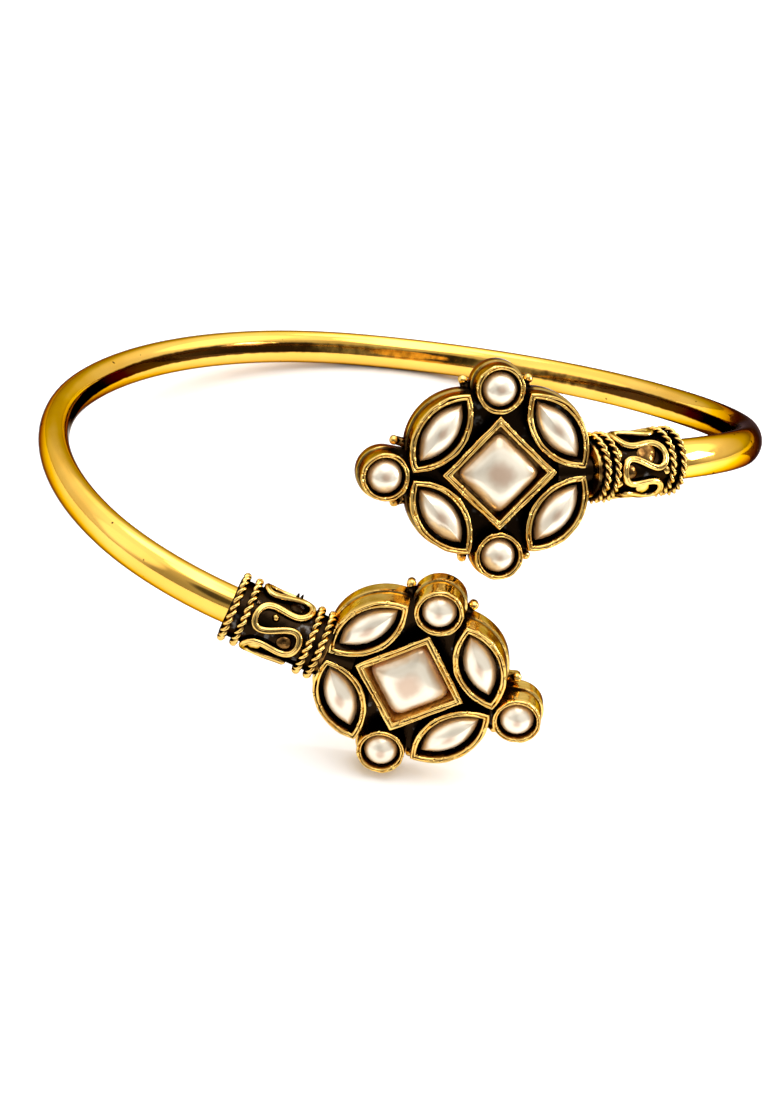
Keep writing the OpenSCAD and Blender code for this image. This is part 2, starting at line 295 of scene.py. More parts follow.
# Middle of the scroll wire: a wave along the drum whose phase, in degrees, runs ahead
# and falls back, so that its loops swell and their necks close in
def scrollPoint(phase, start):
    a = np.radians(phase)
    swell = np.degrees(collar["scrollSwell"] / drumRadius * np.sin(2 * a))
    roundDrum = np.radians(start + phase / collar["scrollLoops"] + collar["scrollLean"] * np.cos(a) + swell)
    radius = drumRadius + collar["scrollDiameter"] / 2 - collar["wireSink"]
    along = scrollMiddle + collar["scrollReach"] * np.cos(a)
    return np.stack([along, radius * np.cos(roundDrum), radius * np.sin(roundDrum)], -1)


# Scroll wire: a round section with a groove along its crest, carried along that wave
# and rounded off at its two ends
def makeScroll(side, start, place, material):
    span = 360 * collar["scrollLoops"] - 2 * collar["scrollGap"]
    phase = collar["scrollGap"] + span * np.linspace(0, 1, collar["scrollStations"])
    middle = scrollPoint(phase, start)
    ahead = unit(scrollPoint(phase + 0.5, start) - scrollPoint(phase - 0.5, start))
    outwards = unit(middle * [0, 1, 1])
    across = unit(np.cross(ahead, outwards))
    upwards = np.cross(across, ahead)
    a = np.linspace(-np.pi, np.pi, collar["scrollPoints"], endpoint=False)
    half = collar["scrollDiameter"] / 2
    groove = bump(a, 0, collar["grooveWidth"])
    sectionAcross = half * np.sin(a)
    sectionUp = half * np.cos(a) - collar["scrollGroove"] * groove
    distance = np.concatenate([[0], np.cumsum(np.linalg.norm(np.diff(middle, axis=0), axis=1))])
    fromEnd = np.minimum(distance, distance[-1] - distance) / half
    shrink = np.sqrt(1 - (1 - np.clip(fromEnd, 0.02, 1)) ** 2)[:, None]
    points = middle[:, None] + (shrink * sectionAcross)[..., None] * across[:, None] \
        + (shrink * sectionUp)[..., None] * upwards[:, None]
    low = 1 - smooth(np.cos(a), -0.25, 0.5)
    sootAndShade = np.maximum(0.4 * bump(a, 0, 0.2), low)[None] + 0 * shrink
    makePiece(side + "_collar_scroll", [skin(points, place, sootAndShade=sootAndShade)],
              material, side + "_collar", 180)


# Half-melted granules in the scroll's loops, loop by loop: shifted along the drum and in
# degrees round it, then width, height and soot. Fillets of solder lie where the wires meet:
# along the drum, degrees round it, width, height and soot.
granules = {
    "leftMelts": ((0, 0, 1.0, 0.34, 0.35), (-0.3, 11, 1.2, 0.36, 0.1), (0, -9, 1.25, 0.3, 0.58),
                  (0.4, 10, 0.62, 0.45, 0.3), (-0.1, 1, 1.3, 0.3, 0.95), (0, 0, 1.1, 0.35, 0.7),
                  (0, 0, 1.2, 0.34, 0.5), (0, 0, 1.1, 0.36, 0.75), (0, 0, 1.0, 0.42, 0.9),
                  (0, 0, 1.1, 0.4, 0.6)),
    "rightMelts": ((0, 0, 1.2, 0.34, 0.6), (0.55, 7, 1.35, 0.34, 0.05), (0.5, -5, 1.35, 0.32, 0.62),
                   (0.5, 11, 1.85, 0.4, 0.5), (0.15, 2, 1.4, 0.28, 0.95), (0, 0, 1.1, 0.4, 0.55),
                   (0, 0, 1.2, 0.36, 0.75), (0, 0, 1.0, 0.42, 0.9), (0, 0, 1.1, 0.4, 0.6),
                   (0, 0, 1.2, 0.35, 0.8)),
    "leftFillets": ((4.7, 128, 0.34, 0.8, 0.9), (4.4, 134, 0.3, 0.75, 0.9), (1.8, 70, 0.5, 0.2, 0.6)),
    "rightFillets": ((6.1, 33, 0.8, 0.3, 0.08), (6.1, -28, 0.8, 0.3, 0.08), (1.75, -8, 0.7, 0.3, 0.1)),
    "ballDiameter": 0.75, "lumps": 0.05, "place": 0.45, "meltSink": 0.08,
    "pointsDown": 18, "pointsRound": 28,
}


# A granule's points, from one pole to the other and round: a ball whose radius wavers
def ballPoints(radius, seed):
    down = np.linspace(0.02, np.pi - 0.02, granules["pointsDown"])[:, None]
    turn = np.linspace(0, 2 * np.pi, granules["pointsRound"], endpoint=False)[None]
    lumps = np.sin(down) * wavering(turn / (2 * np.pi), seed, (2, 3, 5)) * (1 + 0.5 * np.sin(3 * down))
    r = radius * (1 + granules["lumps"] * lumps)
    ring = r * np.sin(down)
    return np.stack([ring * np.cos(turn), ring * np.sin(turn), r * np.cos(down)], -1)


# Melts: flattened balls that lie on the drum inside each loop, and the fillets
def makeMelts(side, start, place, material):
    lumps = []
    for i, (ahead, turn, width, height, sootAndShade) in enumerate(granules[side + "Melts"]):
        end = 1 if i % 2 == 0 else -1
        lumps.append((scrollMiddle + end * collar["scrollReach"] * granules["place"] + ahead,
                      start + 180 * i / collar["scrollLoops"] + end * collar["scrollLean"] + turn,
                      width, height, sootAndShade))
    skins = []
    for i, (along, turn, width, height, sootAndShade) in enumerate(lumps + list(granules[side + "Fillets"])):
        ball = ballPoints(0.5, 20 + i) * [width, width, 2 * height]
        seat = turned("X", turn) @ moved(along, drumRadius - granules["meltSink"], 0)
        skins.append(skin(ball[..., [0, 2, 1]], place @ seat, sootAndShade=sootAndShade))
    makePiece(side + "_collar_melts", skins, material, side + "_collar", 180)


# The square's soot is how dark the floor and the inner walls round a square pearl are, and
# amber how much cement has stained them
flower = {
    "pivot": 8.2, "reach": 6.5, "rimOut": 1.2,
    "leftTurns": (16, -3, -3), "rightTurns": (-2, 0, -21),
    "plateThickness": 1.3, "bezelHeight": 1.7, "plateLip": 0.2, "plateRadius": 6.5,
    "squareReach": 4.4, "squareRim": 0.55,
    "marquiseWidth": 3.9, "marquiseRim": 0.45, "marquiseNear": (6.6, 0.3), "marquiseFar": (2.3, 6.1),
    "roundDiameter": 3.7, "roundRim": 0.35, "tipReach": 8.7, "sideReach": 6.4,
    "sideGranule": (2.5, 6.9), "tipGranule": (7.75, 2.4), "granuleSeat": 0.3, "granuleRise": 0.55,
    "stubRadius": 1.2, "stubLength": 3,
    "leftSquareSoot": 0.15, "rightSquareSoot": 0.5, "leftAmber": 1.0, "rightAmber": 0.0,
    "squareFloor": (3.4, 4.2), "platePoints": 1080,
}
rimHeight = flower["plateThickness"] + flower["bezelHeight"]
near, far = np.array(flower["marquiseNear"]), np.array(flower["marquiseFar"])
marquiseLength = np.linalg.norm(far - near)
marquiseAngle = np.degrees(np.arctan2(far[1] - near[1], far[0] - near[0]))


# The flower's own frame: X towards its tip and Z outwards, with the plate's back at 0
def flowerPlace(arm, turns):
    roll, spin, swing = turns
    return arm @ moved(flower["pivot"], 0, 0) @ turned("Z", swing) @ turned("X", roll) @ turned("Y", spin) \
        @ moved(flower["reach"], flower["rimOut"] - rimHeight, 0) @ turned("X", -90)


# Seats of the marquise bezels, mirrored from one, and of the round ones
def marquiseSeat(number):
    mirror = np.diag([-1.0 if number > 2 else 1.0, -1.0 if number % 2 == 0 else 1.0, 1, 1])
    return mirror @ moved(*(near + far) / 2, 0) @ turned("Z", marquiseAngle)


def roundSeat(number):
    x, y = ((flower["tipReach"], 0), (0, flower["sideReach"]), (0, -flower["sideReach"]))[number - 1]
    return moved(x, y, 0)


# Outlines, for t from 0 to 1 round and an inset: points in the plane. A pointed oval is
# two arcs whose radius shrinks by the inset; a square has its sides drawn in; a round
# one is a circle.
def pointedOutline(length, width):
    arcRadius = (length ** 2 / 4 + width ** 2 / 4) / width
    drop = arcRadius - width / 2

    def outline(t, inset):
        radius = arcRadius - inset
        half = np.arccos(np.clip(drop / radius, -1, 1))
        second = t >= 0.5
        a = half * (4 * np.where(second, t - 0.5, t) - 1)
        x, y = -radius * np.sin(a), radius * np.cos(a) - drop
        return np.stack([np.where(second, -x, x), np.where(second, -y, y)], -1)
    return outline


def squareOutline(halfSide, corner):
    def outline(t, inset):
        half = halfSide - inset
        quarter = np.floor(t * 4)
        along = (t * 4 - quarter) * 2 - 1
        cornerShare = corner / half
        intoCorner = np.clip((np.abs(along) - 1 + cornerShare) / cornerShare, 0, 1)
        x, y = half - corner * (1 - np.sqrt(1 - intoCorner ** 2)) * 0.3, half * along
        angle = np.radians(quarter * 90 + 45)
        return np.stack([x * np.cos(angle) - y * np.sin(angle), x * np.sin(angle) + y * np.cos(angle)], -1)
    return outline


def roundOutline(radius):
    def outline(t, inset):
        a = 2 * np.pi * t
        return np.stack([(radius - inset) * np.cos(a), (radius - inset) * np.sin(a)], -1)
    return outline


# The rim is the wall's width, length the way round it, soot how dark the inner wall is at
# its foot, and sootDrop how far that soot is lowered
bezels = {
    "square": {"outline": squareOutline(flower["squareReach"] / np.sqrt(2), 0.12),
               "rim": flower["squareRim"], "samples": 400, "length": 24.0, "sootDrop": 0.55},
    "marquise": {"outline": pointedOutline(marquiseLength, flower["marquiseWidth"]),
                 "rim": flower["marquiseRim"], "samples": 300, "length": 16.0, "sootDrop": 0.05,
                 "sootAndShade": 0.78},
    "round": {"outline": roundOutline(flower["roundDiameter"] / 2),
              "rim": flower["roundRim"], "samples": 220, "length": 11.6, "sootDrop": 0.4,
              "sootAndShade": 0.6},
}
bezelSeats = [("square", np.eye(4))] + [("marquise", marquiseSeat(n)) for n in (1, 2, 3, 4)] \
    + [("round", roundSeat(n)) for n in (1, 2, 3)]
granuleSeats = [(end * flower["sideGranule"][0], side * flower["sideGranule"][1])
                for side in (-1, 1) for end in (-1, 1)] \
    + [(flower["tipGranule"][0], side * flower["tipGranule"][1]) for side in (-1, 1)]


# How far the plate reaches from the flower's middle in each direction: the farthest of
# its disc, the bezels' outlines let out by the lip and, where asked, the granules' seats
def plateReach(angle, seated):
    reach = np.full(angle.shape, float(flower["plateRadius"]))
    bins = len(angle)
    t = np.linspace(0, 1, 6000, endpoint=False)
    edges = [placed(np.column_stack([bezels[kind]["outline"](t, -flower["plateLip"]), 0 * t]), seat)[:, :2]
             for kind, seat in bezelSeats]
    circle = np.stack([np.cos(2 * np.pi * t), np.sin(2 * np.pi * t)], -1) * flower["granuleSeat"]
    edges += [circle + seat for seat in granuleSeats if seated]
    for edge in edges:
        index = np.round(np.arctan2(edge[:, 1], edge[:, 0]) / (2 * np.pi) * bins).astype(int) % bins
        np.maximum.at(reach, index, np.hypot(edge[:, 0], edge[:, 1]))
    return reach


plateAngles = np.linspace(0, 2 * np.pi, flower["platePoints"], endpoint=False)
plateEdge, seatedEdge = plateReach(plateAngles, False), plateReach(plateAngles, True)


# How far points of the flower's plane lie from the nearest point of the plate's edge line
def fromPlateEdge(points):
    edge = plateEdge[:, None] * np.stack([np.cos(plateAngles), np.sin(plateAngles)], -1)
    return np.linalg.norm(points[:, None, :2] - edge[None], axis=-1).min(1)


# Plate: its edge line drawn out from the middle of the back, up the side and back in over
# the sooted floor between the bezels. Each level is a share of the way out, a height and a
# shift outwards. The granules' seats fade away halfway up, and the side is sooted in the
# crevices, where the edge falls back.
def makePlate(side, place, material):
    thick = flower["plateThickness"]
    levels = [(0.01, 0, 0), (0.35, 0, 0), (0.7, 0, 0), (1, 0, -0.12), (1, 0.04, -0.04), (1, 0.12, 0)]
    levels += [(1, z, 0) for z in np.linspace(0.25, thick - 0.12, 5)]
    levels += [(1, thick - 0.03, -0.03), (1, thick, -0.12)]
    levels += [(share, thick, 0) for share in np.linspace(0.9, 0.05, 16)] + [(0.01, thick, 0)]
    direction = np.stack([np.cos(plateAngles), np.sin(plateAngles)], -1)
    rings, sootAndShade, amber = [], [], []
    wide = np.array([np.roll(plateEdge, shift) for shift in range(-45, 46, 5)]).max(0)
    drop = wide - plateEdge
    crevice = smooth(drop, 0.5, 1) * smooth(drop / np.maximum(wide - flower["plateRadius"], 0.6), 0.6, 0.95)
    for share, z, out in levels:
        r = (seatedEdge + (plateEdge - seatedEdge) * smooth(z, 0.5, 0.8)) * share + out
        ring = np.column_stack([direction * r[:, None], np.full(len(r), z)])
        rings.append(ring)
        inSquare = 1 - smooth(np.abs(ring[:, 0]) + np.abs(ring[:, 1]), *flower["squareFloor"])
        onFloor = share < 1 and z > 0
        floorSoot = 1 - (1 - flower[side + "SquareSoot"]) * inSquare
        sootAndShade.append(floorSoot if onFloor else crevice * smooth(z, 0.05, 0.4))
        amber.append(flower[side + "Amber"] * inSquare * onFloor)
    plate = skin(np.array(rings), place, sootAndShade=np.array(sootAndShade), amber=np.array(amber))
    makePiece(side + "_back_plate", [plate], material, side + "_setting")


# Each stain goes from full to nothing between two depths under the rim, and the outside
# darkens between two distances in from the plate's edge
rims = {
    "flare": 0.04, "ridge": 0.12, "ridgeSpan": 0.24, "ridgePower": 2.4,
    "groove": 0.1, "grooveAt": 0.52, "grooveWidth": 0.11, "grooveWander": 0.05,
    "waver": 0.035, "nicksPerMm": 1.5, "nickDepth": 0.11, "nickWidth": 0.05, "footSink": 0.15,
    "outerStain": (0.6, 0.15), "innerStain": (1.0, 0.5), "amberStain": (0.25, 0.05),
    "darkensIn": (0.8, 1.5),
}


# Rim of a bezel, for s from 0 to 1 over it and t round it: a ridge each side of a groove,
# which falls off towards its side by a power. The height wavers, and small cuts cross one
# ridge or the other here and there.
def rimCrown(form, s, t, seed):
    inFromSide = np.clip(np.minimum(s, 1 - s) / rims["ridgeSpan"], 0, 1)
    crown = rimHeight - rims["ridge"] * (1 - inFromSide) ** rims["ridgePower"]
    groovePlace = rims["grooveAt"] + rims["grooveWander"] * wavering(t, seed + 1, (3, 7, 12))
    groove = rims["groove"] * (1 + 0.35 * wavering(t, seed + 2, (4, 9, 15)))
    crown = crown - groove * bump(s, groovePlace, rims["grooveWidth"])
    swell = rims["waver"] * wavering(t, seed + 3, (2, 5, 11, 23))
    crown = crown + swell * np.sin(np.pi * np.clip(s, 0.12, 0.88))
    draw = np.random.RandomState(seed)
    for _ in range(int(rims["nicksPerMm"] * form["length"])):
        middle, ridge, depth = draw.uniform(0, 1), draw.choice([0.2, 0.8]), draw.uniform(0.3, 1)
        width = rims["nickWidth"] * draw.uniform(0.7, 2)
        away = ((t - middle + 0.5) % 1 - 0.5) * form["length"]
        crown = crown - rims["nickDepth"] * depth * bump(away, 0, width) * bump(s, ridge, 0.25)
    return crown, groovePlace


# Soot and amber of a bezel. Outside it is sooted where the wall stands far in from the
# plate's edge, inside towards the foot, and on the rim in patches along the groove.
def bezelMarks(kind, s, t, z, groovePlace, seat, seed, squareSoot, squareAmber):
    form = bezels[kind]
    outer, inner, onRim = s == 0, s == 1, (s > 0) & (s < 1)
    outerTop, innerTop, amberTop = (rimHeight - np.array(rims[stain])
                                    for stain in ("outerStain", "innerStain", "amberStain"))
    wall = form["outline"](t[0], 0)
    fromEdge = fromPlateEdge(placed(np.column_stack([wall, 0 * t[0]]), seat))[None]
    ragged = z + 0.15 * wavering(t, seed + 7, (4, 7, 13))
    outerSoot = smooth(fromEdge, *rims["darkensIn"]) * (1 - smooth(ragged, *outerTop))
    patches = 0.3 * wavering(t, seed + 8, (3, 5, 9, 16))
    atFoot = squareSoot if kind == "square" else form["sootAndShade"] + patches
    blotched = z + 0.2 * wavering(t, seed + 5, (2, 5, 9, 17)) + form["sootDrop"]
    innerSoot = 0.2 + (atFoot - 0.2) * (1 - smooth(blotched, *innerTop))
    inGroove = np.clip(0.55 + 0.35 * wavering(t, seed + 6, (3, 8, 14, 29)), 0, 1)
    grooveSoot = inGroove * bump(s, groovePlace, 0.09)
    stained = 1 - smooth(z + patches / 3, *amberTop)
    sootAndShade = outerSoot * outer + innerSoot * inner + grooveSoot * onRim
    return np.clip(sootAndShade, 0, 1), squareAmber * (kind == "square") * stained * inner


# Bezel wall: a line carried round its outline, up the outside, over the rim and down the
# inside. The outer wall leans out a little towards its foot and is uneven near its top.
def bezelSkin(kind, seat, place, seed, squareSoot, squareAmber):
    form = bezels[kind]
    t = (np.arange(form["samples"]) / form["samples"])[None]
    s = np.concatenate([np.zeros(6), np.linspace(0, 1, 19)[1:-1], np.ones(5)])[:, None]
    top, base = rimHeight, flower["plateThickness"] - rims["footSink"]
    crown, groovePlace = rimCrown(form, s, t, seed)
    wallUp, wallDown = np.linspace(base, top - rims["ridge"], 6), np.linspace(top - rims["ridge"], base, 5)
    walls = np.concatenate([wallUp, np.zeros(len(s) - 11), wallDown])[:, None]
    z = np.where((s > 0) & (s < 1), crown, walls)
    inset = s * form["rim"] + rims["flare"] * (smooth(z, base, top) - 1) * (s == 0)
    uneven = 0.025 * wavering(t, seed + 4, (3, 8, 13))
    inset = inset + uneven * smooth(z, top - 0.8, top - 0.1) * (s < 0.5)
    flat = form["outline"](t + 0 * inset, inset)
    points = np.concatenate([flat, z[..., None]], -1)
    sootAndShade, amber = bezelMarks(kind, s, t, z, groovePlace, seat, seed, squareSoot, squareAmber)
    return skin(points, place @ seat, sootAndShade=sootAndShade, amber=amber, rowsClose=True)


# Bezels: all of one flower's walls, one piece
def makeBezels(side, place, material, seed):
    stains = flower[side + "SquareSoot"], flower[side + "Amber"]
    skins = [bezelSkin(kind, seat, place, seed + 10 * i, *stains)
             for i, (kind, seat) in enumerate(bezelSeats)]
    makePiece(side + "_bezels", skins, material, side + "_setting", 60)


# Granules: balls in the crevices beside the round bezels
def makeGranules(side, place, material, seed):
    skins = []
    for i, (x, y) in enumerate(granuleSeats):
        ball = ballPoints(granules["ballDiameter"] / 2, seed + i)
        seat = moved(x, y, flower["granuleRise"])
        inwards = -(ball[..., 0] * x + ball[..., 1] * y) / np.hypot(x, y)
        skins.append(skin(ball, place @ seat, sootAndShade=smooth(inwards, 0.05, 0.3)))
    makePiece(side + "_granules", skins, material, side + "_setting", 180)


# Neck: a short round stub between the collar and the plate
def makeNeck(side, place, material):
    angle = np.linspace(0, 2 * np.pi, 48, endpoint=False)
    radius, start = flower["stubRadius"], -flower["reach"] - 1
    end = start + flower["stubLength"]
    stub = lathed(((start, 0.02 * radius), (start, radius), (end, radius), (end, 0.02 * radius)), angle)
    seat = moved(0, 0, rimHeight - flower["rimOut"])
    makePiece(side + "_neck", [skin(stub, place @ seat, sootAndShade=1.0)],
              material, side + "_setting")


# Each pearl's powers shape its dome, and the third one its painted reflection spot; the darkest
# share keeps the painted shade at the left square's edge paler
pearls = {
    "squareSize": 4.7, "squarePowers": (2.8, 0.7, 1.6),
    "marquiseLength": 5.3, "marquiseWidth": 2.4, "marquisePowers": (2.0, 0.7, 1.0),
    "roundSize": 2.65, "roundPowers": (2.0, 0.6, 1.0),
    "height": 1.95, "girdle": 1.0, "clearance": 0.05, "leftDarkest": 0.88, "rightDarkest": 1.0,
}


# A rounded square: the curve on which x and y over the half side, each to a power, sum to
# one. The power falls towards the crown, where the outline is almost round.
def pillowOutline(size):
    def outline(t, share):
        a = 2 * np.pi * t
        power = 2.2 + 4.3 * share ** 2
        r = size / 2 / (np.abs(np.cos(a)) ** power + np.abs(np.sin(a)) ** power) ** (1 / power)
        return np.stack([r * np.cos(a), r * np.sin(a)], -1)
    return outline


# Pearl: its outline drawn in towards the middle while the dome rises. The share m of the
# outline falls from 1 at the girdle to 0 at the crown, and the dome's height follows
# (1 - m to a power) to a second power. The material reads that share as its dark mark: painted
# shade browner towards the girdle, partly the coat's own tone, and a painted reflection spot on
# the crown, which a third power lowers the share for, for a wider spot.
def makePearl(name, node, outline, place, material, powers, darkest=1.0):
    t = np.arange(120) / 120
    shares = np.sin(np.radians(np.linspace(90, 1.5, 26)))
    first, second, spread = powers
    rise = pearls["height"] - pearls["girdle"]
    rows = [(0.02, 0.0), (0.5, 0.0), (0.97, 0.0), (1.0, 0.05), (1.0, 0.4), (1.0, 0.8)]
    rows += [(m, pearls["girdle"] + rise * (1 - m ** first) ** second) for m in shares]
    points = np.array([np.column_stack([outline(t, m) * m, np.full(len(t), z)]) for m, z in rows])
    share = np.array([m if z > 0.5 else 1.0 for m, z in rows])
    share = share - (share - share ** spread) * (1 - smooth(share, 0.45, 0.8))
    share = np.minimum(share, darkest)[:, None]
    seat = moved(0, 0, flower["plateThickness"] + pearls["clearance"])
    makePiece(name, [skin(points, place @ seat, sootAndShade=share)], material, node, 60)


def makePearls(side, place, material):
    square = pillowOutline(pearls["squareSize"])
    marquise = pointedOutline(pearls["marquiseLength"], pearls["marquiseWidth"])
    circle = roundOutline(pearls["roundSize"] / 2)
    makePearl(side + "_square_pearl", side + "_square_stone", square, place @ turned("Z", 45),
              material, pearls["squarePowers"], pearls[side + "Darkest"])
    for n in (1, 2, 3, 4):
        makePearl(f"{side}_marquise_pearl_{n}", f"{side}_marquise_stone_{n}",
                  lambda t, share: marquise(t, 0), place @ marquiseSeat(n), material,
                  pearls["marquisePowers"])
    for n in (1, 2, 3):
        makePearl(f"{side}_round_pearl_{n}", f"{side}_round_stone_{n}",
                  lambda t, share: circle(t, 0), place @ roundSeat(n), material, pearls["roundPowers"])


# Material helpers: a new material with its shader, a node with its settings, and a link
def newMaterial(name):
    material = bpy.data.materials.new(name)
    material.use_nodes = True
    nodes = material.node_tree.nodes
    nodes.clear()
    output = nodes.new("ShaderNodeOutputMaterial")
    shader = nodes.new("ShaderNodeBsdfPrincipled")
    material.node_tree.links.new(shader.outputs["BSDF"], output.inputs["Surface"])
    return material, shader


def addNode(material, kind, **settings):
    node = material.node_tree.nodes.new("ShaderNode" + kind)
    for key, value in settings.items():
        setattr(node, key, value)
    return node


def join(material, source, target):
    material.node_tree.links.new(source, target)


def addMark(material, name):
    return addNode(material, "Attribute", attribute_name=name).outputs["Fac"]


def addNoise(material, scale, detail=2.0):
    noise = addNode(material, "TexNoise")
    noise.inputs["Scale"].default_value = scale
    noise.inputs["Detail"].default_value = detail
    join(material, addNode(material, "TexCoord").outputs["Object"], noise.inputs["Vector"])
    return noise.outputs["Fac"]


def addRange(material, value, low, high, toLow=0, toHigh=1):
    node = addNode(material, "MapRange", interpolation_type="SMOOTHSTEP")
    for socket, number in zip(("From Min", "From Max", "To Min", "To Max"), (low, high, toLow, toHigh)):
        node.inputs[socket].default_value = number
    join(material, value, node.inputs["Value"])
    return node.outputs["Result"]


def addMath(material, operation, first, second):
    node = addNode(material, "Math", operation=operation)
    for socket, value in zip(node.inputs, (first, second)):
        if isinstance(value, (int, float)):
            socket.default_value = value
        else:
            join(material, value, socket)
    return node.outputs["Value"]


def addMix(material, share, first, second):
    node = addNode(material, "Mix", data_type="RGBA")
    join(material, share, node.inputs["Factor"])
    for socket, value in ((node.inputs[6], first), (node.inputs[7], second)):
        if isinstance(value, tuple):
            socket.default_value = value + (1.0,)
        else:
            join(material, value, socket)
    return node.outputs[2]


def addBump(material, shader, height, strength, distance):
    node = addNode(material, "Bump")
    node.inputs["Strength"].default_value = strength
    node.inputs["Distance"].default_value = distance
    join(material, height, node.inputs["Height"])
    join(material, node.outputs["Normal"], shader.inputs["Normal"])


# The dark mark with ragged edges, which is soot on the worked gold and painted shade on the
# rod and pearls: a noise shifts it up or down by so much
def addRaggedSootAndShade(material, noise, low, high, by):
    return addMath(material, "ADD", addMark(material, "sootAndShade"), addRange(material, noise, low, high, -by, by))


# In the finishes, a scale counts a noise's patches to the metre, and a pair named "between"
# is the stretch of a noise or a mark over which one colour turns into another
edgeTint = (0.08, 0.04, 0.0, 1.0)  # of both golds, at a glancing angle
rodLook = {
    "bright": (0.98, 0.58, 0.115), "mellow": (0.94, 0.525, 0.09),
    # The dark colour is patina and also the painted reflection along the groove and the painted shade under
    # the back.
    "patinaAndShade": (0.055, 0.022, 0.004), "pit": (0.05, 0.02, 0.006),
    "roughness": 0.045, "scuffedRoughness": 0.15,
    "driftScale": 220, "streakScale": 1100, "pitScale": 1700, "scuffScale": 2600, "rippleScale": 330,
    "raggedBy": 0.12, "patinaAndShadeBetween": (0.12, 0.75), "pitsBetween": (0.835, 0.87),
    "rippleStrength": 0.12, "rippleHeight": 0.0002,
}


# Mirror-polished gold of the rod: a faint drift of colour, a dark colour where the dark mark lies
# that is partly patina and partly painted reflection along the groove and painted shade under
# the back, fine pits and scuffs, and barely felt ripples
def polishedGold():
    material, shader = newMaterial("polished_gold")
    drift = addRange(material, addNoise(material, rodLook["driftScale"]), 0.3, 0.7)
    gold = addMix(material, drift, rodLook["bright"], rodLook["mellow"])
    streaks = addNoise(material, rodLook["streakScale"], 3)
    sootAndShade = addRaggedSootAndShade(material, streaks, 0.2, 0.8, rodLook["raggedBy"])
    # The dark mark lays patina, painted reflection and painted shade over the gold.
    tarnishAndShade = addRange(material, sootAndShade, *rodLook["patinaAndShadeBetween"])
    tarnishedAndShaded = addMix(material, tarnishAndShade, gold, rodLook["patinaAndShade"])
    pits = addRange(material, addNoise(material, rodLook["pitScale"], 0), *rodLook["pitsBetween"])
    join(material, addMix(material, pits, tarnishedAndShaded, rodLook["pit"]), shader.inputs["Base Color"])
    shader.inputs["Metallic"].default_value = 1.0
    shader.inputs["Specular Tint"].default_value = edgeTint
    scuffs = addNoise(material, rodLook["scuffScale"], 4)
    join(material, addRange(material, scuffs, 0.35, 0.75, rodLook["roughness"], rodLook["scuffedRoughness"]),
         shader.inputs["Roughness"])
    ripples = addNoise(material, rodLook["rippleScale"], 1)
    addBump(material, shader, ripples, rodLook["rippleStrength"], rodLook["rippleHeight"])
    return material


workedLook = {
    "worn": (0.93, 0.62, 0.18), "deep": (0.74, 0.45, 0.12), "brown": (0.21, 0.10, 0.027),
    "oxide": (0.015, 0.008, 0.0035), "oxideGlint": (0.085, 0.078, 0.07),
    "amber": (0.95, 0.43, 0.06), "amberDark": (0.60, 0.23, 0.025), "amberMetal": 0.2,
    "roughness": 0.13, "oxideRoughness": 0.24,
    "grainScale": 2400, "patchScale": 650, "fleckScale": 1300,
    "raggedBy": 0.16, "brownBetween": (0.1, 0.52), "oxideBetween": (0.45, 0.85),
    "glintsBetween": (0.6, 0.72), "amberBetween": (0.5, 0.9),
    "grainStrength": 0.35, "grainHeight": 0.00006,
}


# Antique gold: bright where it was rubbed, black oxide where soot lies, with a warm brown
# where the one runs into the other, and amber cement where the amber mark is high
def antiqueGold():
    material, shader = newMaterial("antique_gold")
    grain = addNoise(material, workedLook["grainScale"], 3)
    patches = addNoise(material, workedLook["patchScale"], 2)
    flecks = addNoise(material, workedLook["fleckScale"], 3)
    sootAndShade = addRaggedSootAndShade(material, grain, 0.2, 0.8, workedLook["raggedBy"])
    black = addRange(material, sootAndShade, *workedLook["oxideBetween"])
    brown = addRange(material, sootAndShade, *workedLook["brownBetween"])
    gold = addMix(material, addRange(material, patches, 0.25, 0.75), workedLook["worn"], workedLook["deep"])
    warm = addMix(material, brown, gold, workedLook["brown"])
    glints = addRange(material, flecks, *workedLook["glintsBetween"])
    oxide = addMix(material, glints, workedLook["oxide"], workedLook["oxideGlint"])
    sooted = addMix(material, black, warm, oxide)
    inAmber = addRange(material, addMark(material, "amber"), *workedLook["amberBetween"])
    cloudy = addRange(material, grain, 0.35, 0.65)
    amber = addMix(material, cloudy, workedLook["amber"], workedLook["amberDark"])
    join(material, addMix(material, inAmber, sooted, amber), shader.inputs["Base Color"])
    join(material, addRange(material, inAmber, 0, 1, 1.0, workedLook["amberMetal"]),
         shader.inputs["Metallic"])
    shader.inputs["Specular Tint"].default_value = edgeTint
    join(material, addRange(material, black, 0, 1, workedLook["roughness"], workedLook["oxideRoughness"]),
         shader.inputs["Roughness"])
    addBump(material, shader, addMath(material, "ADD", grain, patches),
            workedLook["grainStrength"], workedLook["grainHeight"])
    return material


pearlLook = {
    # The tan and edge colours are painted shade towards the girdle, partly the coat's own tone; the spot
    # colour is a painted reflection.
    "cream": (0.94, 0.84, 0.67), "tan": (0.52, 0.33, 0.16), "edge": (0.17, 0.075, 0.02),
    "reflectionSpot": (0.62, 0.45, 0.32), "nacre": 0.45, "roughness": 0.24, "shine": 0.6,
    "gloss": 0.6, "glossRoughness": 0.08, "cloudScale": 700, "raggedBy": 0.05,
    "reflectionSpotBetween": (0.05, 0.4), "tanBetween": (0.62, 0.96), "edgeBetween": (0.95, 1.04),
    "cloudStrength": 0.1, "cloudHeight": 0.0001,
}


